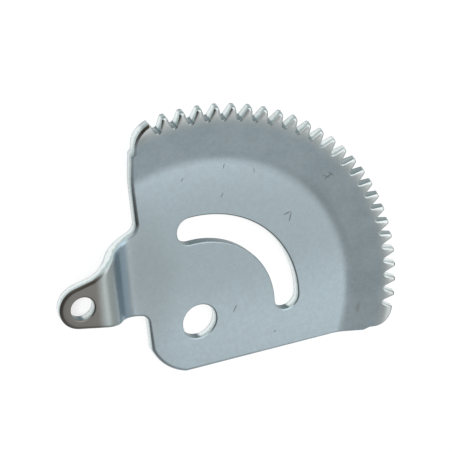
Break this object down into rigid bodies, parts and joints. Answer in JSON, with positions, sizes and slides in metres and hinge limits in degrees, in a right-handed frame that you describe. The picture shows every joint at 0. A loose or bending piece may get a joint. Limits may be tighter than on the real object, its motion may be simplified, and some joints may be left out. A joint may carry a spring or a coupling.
{
  "type": "sector gear",
  "caption": "Stamped steel sector plate with a dished toothed rim, a pivot hole, a curved guide slot and a raised, joggled ear with a link hole.",
  "frame": {"origin": "on the axis of the pivot hole, at the back face of the flat web, which is the face the plate lies on", "axes": "+X along the straight lower edge, away from the link ear; +Y towards the toothed rim above the pivot; +Z along the pivot axis, towards the side to which the rim and the ear are raised"},
  "size_m": [0.2039, 0.1541, 0.0175],
  "materials": {
    "steel": "bright zinc plated, satin"
  },
  "bodies": {
    "root": {"sector_plate": "steel"}
  },
  "joints": []
}
